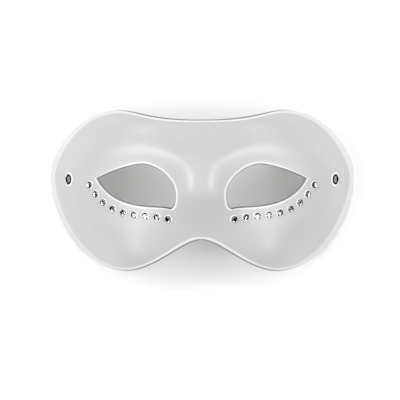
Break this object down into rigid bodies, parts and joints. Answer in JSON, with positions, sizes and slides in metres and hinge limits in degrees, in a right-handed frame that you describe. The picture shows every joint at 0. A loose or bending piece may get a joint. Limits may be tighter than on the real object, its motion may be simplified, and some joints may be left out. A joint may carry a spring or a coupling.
{
  "type": "masquerade mask",
  "caption": "Moulded half mask with almond eye openings, a nose arch, an eyelet for a tie at each side and a row of small clear rhinestones below each eye.",
  "frame": {"origin": "centre of the outline seen from the front, in the plane of the side rims that the mask lies on", "axes": "+X across the face to the viewer's right, +Y to the forehead, +Z out of the face"},
  "size_m": [0.1764, 0.0917, 0.0661],
  "materials": {
    "shell": "satin off-white moulded plastic with a pale bare edge",
    "eyelet": "dark gunmetal-plated rolled eyelet, its bore rubbed bright",
    "rhinestone": "clear faceted crystal with a silver foil back"
  },
  "bodies": {
    "root": {"mask_shell": "shell", "eyelet_left": "eyelet", "eyelet_right": "eyelet", "rhinestone_left_1": "rhinestone", "rhinestone_left_2": "rhinestone", "rhinestone_left_3": "rhinestone", "rhinestone_left_4": "rhinestone", "rhinestone_left_5": "rhinestone", "rhinestone_left_6": "rhinestone", "rhinestone_left_7": "rhinestone", "rhinestone_left_8": "rhinestone", "rhinestone_left_9": "rhinestone", "rhinestone_right_1": "rhinestone", "rhinestone_right_2": "rhinestone", "rhinestone_right_3": "rhinestone", "rhinestone_right_4": "rhinestone", "rhinestone_right_5": "rhinestone", "rhinestone_right_6": "rhinestone", "rhinestone_right_7": "rhinestone", "rhinestone_right_8": "rhinestone", "rhinestone_right_9": "rhinestone"}
  },
  "joints": []
}
